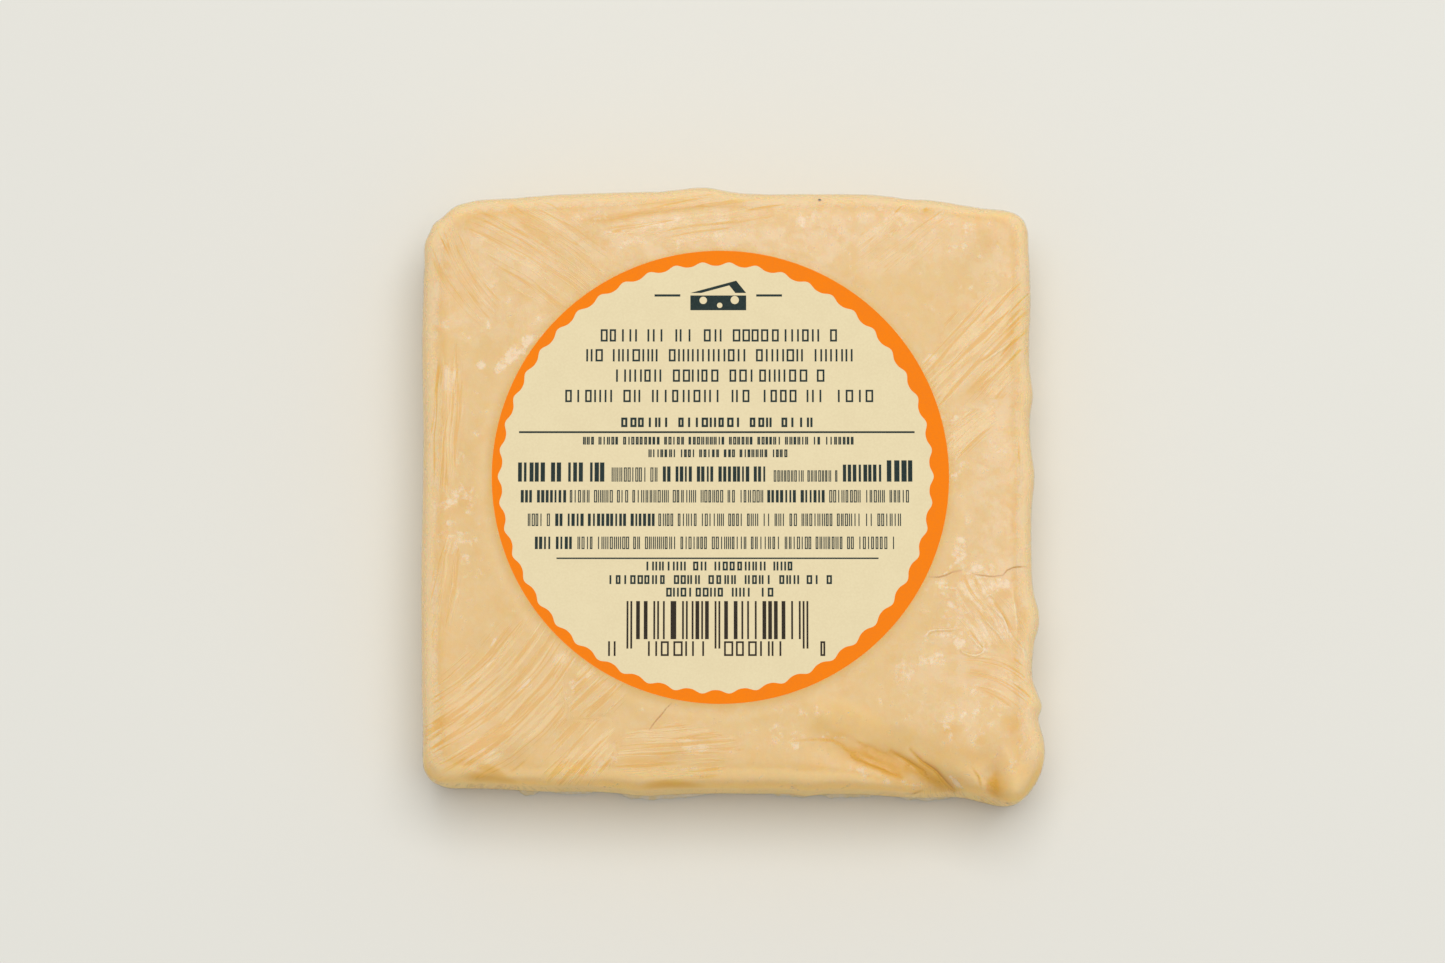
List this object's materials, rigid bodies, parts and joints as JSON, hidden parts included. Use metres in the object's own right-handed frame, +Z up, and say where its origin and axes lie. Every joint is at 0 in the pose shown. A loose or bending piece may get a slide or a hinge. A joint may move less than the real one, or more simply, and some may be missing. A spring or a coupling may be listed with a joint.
{
  "type": "cheddar block",
  "caption": "Small square block of pale cheddar, vacuum packed in clear wrinkled film, with a round scallop-edged paper label on its top.",
  "frame": {"origin": "middle of the overall box, at the surface that the block lies on", "axes": "+Z up through the label, +Y towards the block's back edge, which is the top of the label's print, +X to the right"},
  "size_m": [0.0874, 0.0872, 0.0195],
  "materials": {
    "cheese_in_film": "pale orange cheddar under tight clear film, satin with fine creases",
    "label_paper": "matt cream paper with an orange scalloped border and dark print"
  },
  "bodies": {
    "root": {"wrapped_cheddar": "cheese_in_film", "label": "label_paper"}
  },
  "joints": []
}
